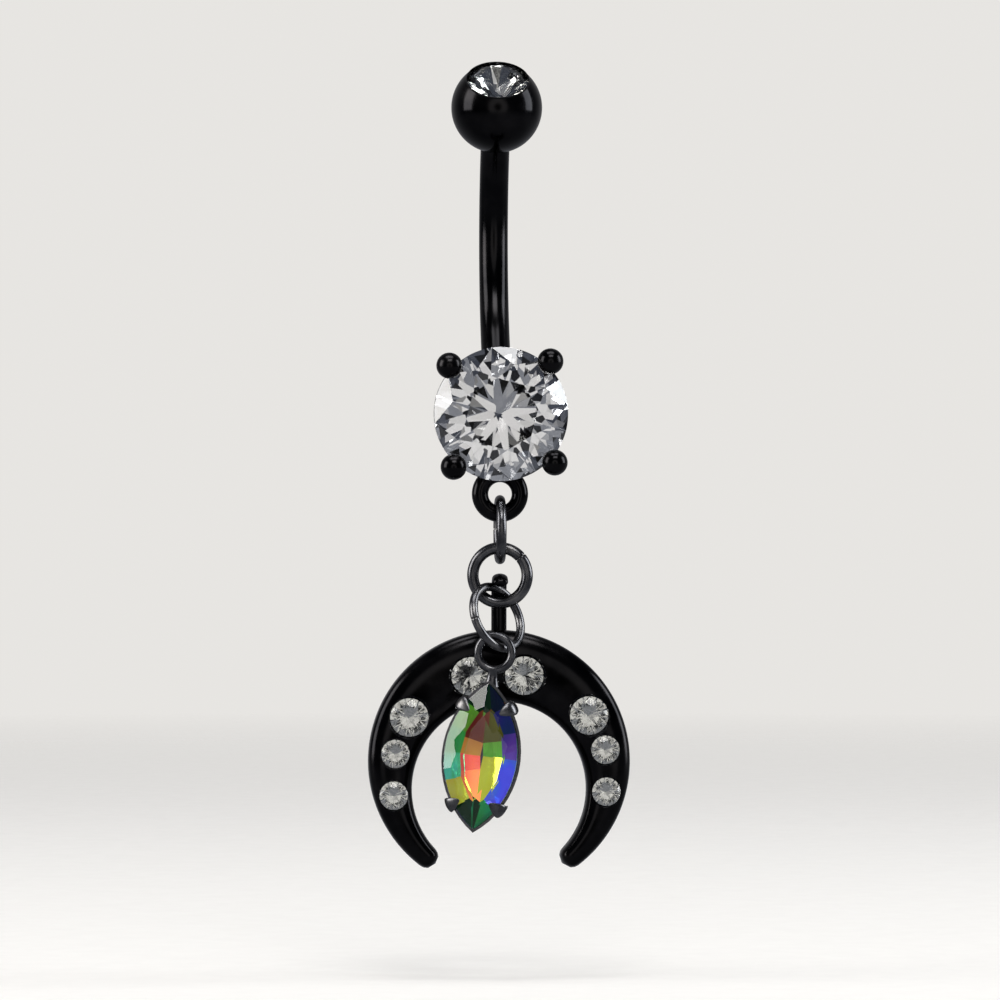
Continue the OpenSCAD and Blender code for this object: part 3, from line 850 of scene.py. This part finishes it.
# Marquise drop
marquise = {
    "length": 8.0, "width": 4.0, "crown": 0.75, "girdle": 0.16, "depth": 1.08, "tableAcross": 0.52,
    "arcCuts": 18,
    # crown facets, at shares of the half arc; the end ones are a little flatter
    "crownAt": (-0.8, -0.4, 0, 0.4, 0.8), "crownEase": 0.1,
    "starAt": (-0.6, -0.2, 0.2, 0.6), "starSlope": 0.62, "starRise": 0.52, "starInset": 0.42,
    # back facets: an outer row, and an inner row that starts innerHalf from the middle line
    "outerBack": 36.0, "outerSpread": 0.98, "innerHalf": 0.9, "innerSpread": 0.5,
}
cup = {
    "wall": 0.14, "gap": 0.03, "depth": 1.3, "rim": 0.02, "foot": 0.9, "floor": 0.16, "wellTaper": 0.98,
    "clawAlong": 0.665, "clawOut": 0.14, "clawFlat": 0.34, "clawSides": 20,
    "loopHole": 1.41, "loopWire": 0.45, "loopSides": 28, "neck": 0.32, "neckFlat": 0.85, "rimAhead": 0.75,
    "lean": 6.5, "turn": 12.0,
}
# Each claw as mm out from clawOut, mm up from the middle of the stone's rim, and half width
cupClawShape = [
    (-0.05, -0.8 * cup["depth"], 0.3), (0.0, -0.3, 0.36), (0.02, 0.05, 0.4), (-0.02, 0.24, 0.42),
    (-0.14, 0.4, 0.4), (-0.34, 0.52, 0.33), (-0.58, 0.66, 0.19), (-0.74, 0.74, 0.07),
]
neckShape = [(0.02, 0.36), (-0.2, 0.27), (-0.5, 0.3), (-0.9, 0.42)]  # mm from the loop, half width
foilColours = {
    "pine": (0.03, 0.16, 0.04), "mint": (0.14, 0.62, 0.26), "aqua": (0.2, 0.75, 0.5),
    "lime": (0.3, 0.62, 0.02), "olive": (0.3, 0.3, 0.02), "yellow": (0.75, 0.75, 0.02),
    "ochre": (0.7, 0.45, 0.02), "umber": (0.4, 0.16, 0.03), "orange": (0.9, 0.3, 0.08),
    "rose": (0.85, 0.12, 0.13), "blue": (0.01, 0.05, 0.38), "navy": (0.008, 0.03, 0.16),
    "violet": (0.3, 0.07, 0.6), "azure": (0.0, 0.33, 0.85), "teal": (0.0, 0.4, 0.22),
}
# The back facets' colours on each side as seen from the front, from the top down
rightFoil = {
    "outer": ["navy", "blue", "violet", "azure", "azure", "teal"],
    "inner": ["olive", "lime", "yellow", "yellow"],
}
leftFoil = {
    "outer": ["pine", "lime", "mint", "aqua", "yellow", "pine"],
    "inner": ["umber", "ochre", "rose", "orange"],
}
dropTurn = turned(-cup["turn"], "Z") @ turned(cup["lean"], "Y") @ facing


# The radius of a pointed oval's arcs, their centres' distance from the middle line, and half their angle
def arcOf(length, width):
    a, b = length / 2, width / 2
    r = (a * a + b * b) / (2 * b)
    return r, r - b, asin(a / r)


# A pointed prism: a block cut down by planes that touch two arcs
def lensBlock(length, width, low, high):
    wide, long = width * 1.2, length * 1.1  # with some to spare, which the planes cut away
    size = Matrix.Diagonal((wide * mm, long * mm, (high - low) * mm, 1))
    block = bmesh.new()
    bmesh.ops.create_cube(block, size=1.0, matrix=place(0, 0, (low + high) / 2) @ size)
    r, back, half = arcOf(length, width)
    cuts = marquise["arcCuts"]
    for side in (0, 1):
        for k in range(cuts):
            t = -half + 2 * half * (k + 0.5) / cuts
            cutFacet(block, pi / 2, t + side * pi, (r - back * cos(t)) * mm)
    return block


def moveToNode(bm, node):
    low = Vector([min(v.co[i] for v in bm.verts) for i in range(3)])
    high = Vector([max(v.co[i] for v in bm.verts) for i in range(3)])
    bmesh.ops.translate(bm, vec=boxCentre(node) - (low + high) / 2, verts=bm.verts)


def makeMarquiseStone():
    m = marquise
    rim = m["girdle"] / 2
    r, back, half = arcOf(m["length"], m["width"])
    stone = lensBlock(m["length"], m["width"], -m["depth"], m["crown"])
    paint = stone.loops.layers.color.new("foil")

    # A facet that leans by angle, touching the arc drawn in by inset at the given height
    def slopeFacet(side, share, angle, height, inset=0, materialIndex=0, colour=None):
        t = share * half
        reach = (r - inset) - back * cos(t)
        distance = (reach * sin(angle) + height * cos(angle)) * mm
        faces = cutFacet(stone, angle, t + side * pi, distance, materialIndex)
        if colour:
            for face in faces:
                for corner in face.loops:
                    corner[paint] = (*foilColours[colour], 1)

    crownAngle = atan((m["crown"] - rim) / (m["width"] / 2 * (1 - m["tableAcross"])))
    starZ = rim + (m["crown"] - rim) * m["starRise"]
    for side in (0, 1):
        for share in m["crownAt"]:
            slopeFacet(side, share, crownAngle * (1 - m["crownEase"] * abs(share)), rim)
        for share in m["starAt"]:
            slopeFacet(side, share, crownAngle * m["starSlope"], starZ, m["starInset"])
    inset = m["width"] / 2 - m["innerHalf"]
    outerAngle = radians(m["outerBack"])
    splitZ = -rim - inset * tan(outerAngle)
    innerAngle = atan((splitZ + m["depth"]) / m["innerHalf"])
    rows = (("outer", outerAngle, -rim, 0, m["outerSpread"]),
            ("inner", innerAngle, splitZ, inset, m["innerSpread"]))
    for side, upward, foil in ((0, 1, rightFoil), (1, -1, leftFoil)):
        for row, angle, height, drawnIn, spread in rows:
            for k, colour in enumerate(foil[row]):
                share = upward * (1 - 2 * (k + 0.5) / len(foil[row])) * spread
                slopeFacet(side, share, pi - angle, height, drawnIn, 1, colour)
    bmesh.ops.transform(stone, matrix=dropTurn, verts=stone.verts)
    moveToNode(stone, "marquise_stone")
    finishPiece("marquiseStone", stone, "pendant", [softCrystal, rainbowFoil],
                ["marquise_stone"], facetEdge)


def cupSize():
    around = 2 * (cup["wall"] + cup["gap"])
    return marquise["length"] + around, marquise["width"] + around


def makeCup():
    length, width = cupSize()
    shell = lensBlock(length, width, -cup["depth"], cup["rim"])
    bmesh.ops.dissolve_limit(shell, angle_limit=0.001, verts=shell.verts, edges=shell.edges)
    top = [f for f in shell.faces if f.normal.z > 0.9]
    for v in shell.verts:
        if v.co.z < -cup["depth"] / 2 * mm:
            v.co.x *= cup["foot"]
            v.co.y *= cup["foot"]
    bmesh.ops.inset_region(shell, faces=top, thickness=cup["wall"] * mm, depth=0, use_even_offset=True)
    well = bmesh.ops.extrude_discrete_faces(shell, faces=top)["faces"]
    verts = list({v for f in well for v in f.verts})
    bmesh.ops.translate(shell, vec=(0, 0, -(cup["depth"] - cup["floor"]) * mm), verts=verts)
    taper = cup["foot"] * cup["wellTaper"]
    bmesh.ops.scale(shell, vec=(taper, taper, 1), verts=verts)
    return shell


def cupClaw(across, along):
    length, width = cupSize()
    r, back, half = arcOf(length, width)
    y = cup["clawAlong"] * length / 2
    lean = asin(y / r)
    path = [(cup["clawOut"] + out, 0, up) for out, up, radius in cupClawShape]
    radii = [radius for out, up, radius in cupClawShape]
    claw = sweep(path, radii, cup["clawSides"], flat=cup["clawFlat"], across=(0, 1, 0))
    spin = place(r * cos(lean) - back, y, 0) @ Matrix.Rotation(lean, 4, "Z")
    bmesh.ops.transform(claw, matrix=spin, verts=claw.verts)
    bmesh.ops.transform(claw, matrix=Matrix.Diagonal((across, along, 1, 1)), verts=claw.verts)
    return claw


# The drop's own loop, standing on a short neck at the cup's upper point
def addDropLoop(bm):
    radius = (cup["loopHole"] + cup["loopWire"]) / 2
    rise = radius + cup["loopWire"] / 2 + cup["neck"] + cupSize()[0] / 2
    loopAt = place(0, rise, -cup["rimAhead"])
    addPart(bm, wireRing(radius, cup["loopWire"], loopAt, segments=96, sides=cup["loopSides"]))
    path = [(0, rise - radius + up, -cup["rimAhead"]) for up, half in neckShape]
    radii = [half for up, half in neckShape]
    addPart(bm, sweep(path, radii, cup["loopSides"], flat=cup["neckFlat"], across=(1, 0, 0)))


def makeMarquiseSetting():
    bm = bmesh.new()
    addPart(bm, makeCup())
    for across in (1, -1):
        for along in (1, -1):
            addPart(bm, cupClaw(across, along))
    addDropLoop(bm)
    bmesh.ops.transform(bm, matrix=dropTurn, verts=bm.verts)
    moveToNode(bm, "marquise_setting")
    finishPiece("marquiseSetting", bm, "pendant", [gunmetal], ["marquise_setting"])


makeMarquiseStone()
makeMarquiseSetting()
print("drop ready")


# Floor, world and lights
studio = {
    "floorDrop": 6.0,  # mm below the object
    "floorRadius": 700.0,
    "pale": (0.8, 0.785, 0.76),
    "grainShade": 0.97,
    "grainScale": 600,
    "grainDetail": 4.0,
    "mirroredFloor": (0.17, 0.175, 0.19),
    "floorGlow": 0.24,  # lifts the floor to the backdrop's tone
    "fadeFrom": 0.13,  # m from the middle, where the floor starts to melt into the backdrop
    "fadeTo": 0.3,
    # the surround's colour from straight before the object round to behind it
    "surround": [
        (0.004, (0.01, 0.01, 0.01)), (0.009, (0.85, 0.83, 0.8)), (0.035, (0.8, 0.78, 0.76)),
        (0.05, (0.05, 0.055, 0.07)), (0.3, (0.04, 0.045, 0.06)), (0.6, (0.09, 0.095, 0.115)),
        (0.9, (0.22, 0.22, 0.23)),
    ],
}
softLights = [
    # name, place mm, size mm, power, colour
    # the side boxes stay clear of the floor
    ("leftBox", (-340, -50, 95), (170, 250), 0.75, (1.0, 0.98, 0.95)),
    ("rightBox", (345, -20, 95), (140, 250), 0.75, (0.95, 0.98, 1.0)),
    ("topBox", (0, -40, 380), (300, 160), 0.75, (1.0, 1.0, 1.0)),
    ("highBox", (20, -260, 300), (210, 110), 0.5, (1.0, 0.99, 0.97)),
]


# A colour mix that shows its second colour to the camera and its first to every other ray
def mixForCamera(tree):
    path = addNode(tree, "ShaderNodeLightPath")
    mix = addNode(tree, "ShaderNodeMix", data_type="RGBA")
    factor, toOthers, toCamera = mix.inputs[0], mix.inputs[6], mix.inputs[7]
    tree.links.new(path.outputs["Is Camera Ray"], factor)
    return toOthers, toCamera, mix.outputs[2]


def makeFloor():
    bm = bmesh.new()
    bmesh.ops.create_circle(bm, cap_ends=True, segments=96, radius=studio["floorRadius"] * mm)
    z = cadBox[0][2] - studio["floorDrop"] * mm
    bmesh.ops.translate(bm, vec=(0, 0, z), verts=bm.verts)
    mesh = meshFrom(bm, "floor")
    floor = addObject("floor", mesh)
    material, tree, shader = newMaterial("paleFloor", Roughness=0.8, Specular_IOR_Level=0.2)
    grain = noise(tree, onObject(tree), studio["grainScale"], studio["grainDetail"])
    # reflections see a darker floor, which keeps the black metal black and the stones contrasty
    toOthers, toCamera, seen = mixForCamera(tree)
    toOthers.default_value = (*studio["mirroredFloor"], 1)
    tree.links.new(grained(tree, grain, studio["pale"], studio["grainShade"]), toCamera)
    tree.links.new(seen, shader.inputs["Base Color"])
    tree.links.new(seen, shader.inputs["Emission Color"])
    shader.inputs["Emission Strength"].default_value = studio["floorGlow"]
    distance = addNode(tree, "ShaderNodeVectorMath", operation="LENGTH")
    tree.links.new(onObject(tree), distance.inputs[0])
    solid = remap(tree, distance.outputs["Value"], 1.0, 0.0, studio["fadeFrom"], studio["fadeTo"])
    tree.links.new(solid, shader.inputs["Alpha"])
    mesh.materials.append(material)


def makeWorld():
    world = bpy.data.worlds.new("world")
    bpy.context.scene.world = world
    world.use_nodes = True
    tree = world.node_tree
    direction = addNode(tree, "ShaderNodeTexCoord")
    parts = addNode(tree, "ShaderNodeSeparateXYZ")
    tree.links.new(direction.outputs["Generated"], parts.inputs["Vector"])
    depth = remap(tree, parts.outputs["Y"], 0.0, 1.0, -1.0, 1.0)
    toOthers, toCamera, seen = mixForCamera(tree)
    tree.links.new(ramp(tree, depth, studio["surround"]), toOthers)
    toCamera.default_value = (*studio["pale"], 1)
    tree.links.new(seen, tree.nodes["Background"].inputs["Color"])


def makeLights():
    aim = Vector(camera["target"]) * mm
    for name, at, size, power, colour in softLights:
        data = bpy.data.lights.new(name, "AREA")
        data.shape = "RECTANGLE"
        data.size, data.size_y = size[0] * mm, size[1] * mm
        data.energy = power
        data.color = colour
        light = addObject(name, data)
        light.visible_camera = False
        light.location = Vector(at) * mm
        light.rotation_euler = (aim - light.location).to_track_quat("-Z", "Y").to_euler()


makeFloor()
makeWorld()
makeLights()
bpy.context.scene.view_settings.view_transform = "Standard"
print("studio ready")
